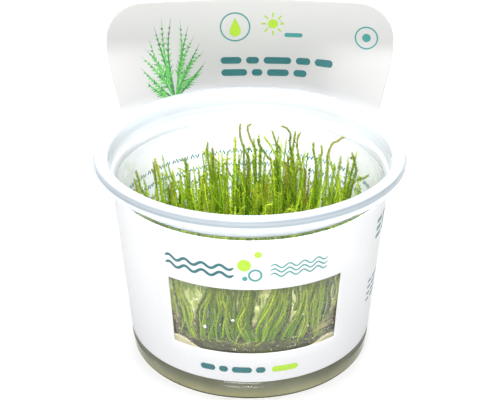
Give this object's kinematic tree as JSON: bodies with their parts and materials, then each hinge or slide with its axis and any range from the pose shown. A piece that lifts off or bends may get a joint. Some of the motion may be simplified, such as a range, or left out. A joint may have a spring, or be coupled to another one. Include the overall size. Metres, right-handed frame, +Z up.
{
  "type": "tissue culture cup of aquarium moss",
  "caption": "Upright aquarium moss growing on nutrient gel in a clear open cup with a rolled rim, wrapped in a white card label with a window and a tall back tag.",
  "frame": {"origin": "middle of the cup's flat underside, on the cup's axis", "axes": "+Z up along the cup's axis, -Y towards the label's window and the viewer, +Y towards the back tag, +X to the viewer's right"},
  "size_m": [0.101, 0.102, 0.1018],
  "materials": {
    "clear_plastic": "clear injection-moulded plastic, see-through",
    "white_card": null,
    "agar_gel": "cloudy beige nutrient gel with a wet surface",
    "old_moss": "dark felt of old moss stems",
    "young_moss": "fresh yellow-green leafy shoots"
  },
  "bodies": {
    "root": {"cup": "clear_plastic", "label": "white_card", "gel": "agar_gel", "moss_mat": "old_moss", "moss_tuft_01": "young_moss", "moss_tuft_02": "young_moss", "moss_tuft_03": "young_moss", "moss_tuft_04": "young_moss", "moss_tuft_05": "young_moss", "moss_tuft_06": "young_moss", "moss_tuft_07": "young_moss", "moss_tuft_08": "young_moss", "moss_tuft_09": "young_moss", "moss_tuft_10": "young_moss", "moss_tuft_11": "young_moss", "moss_tuft_12": "young_moss", "moss_tuft_13": "young_moss", "moss_tuft_14": "young_moss", "moss_tuft_15": "young_moss", "moss_tuft_16": "young_moss", "moss_tuft_17": "young_moss", "moss_tuft_18": "young_moss", "moss_tuft_19": "young_moss"}
  },
  "joints": []
}
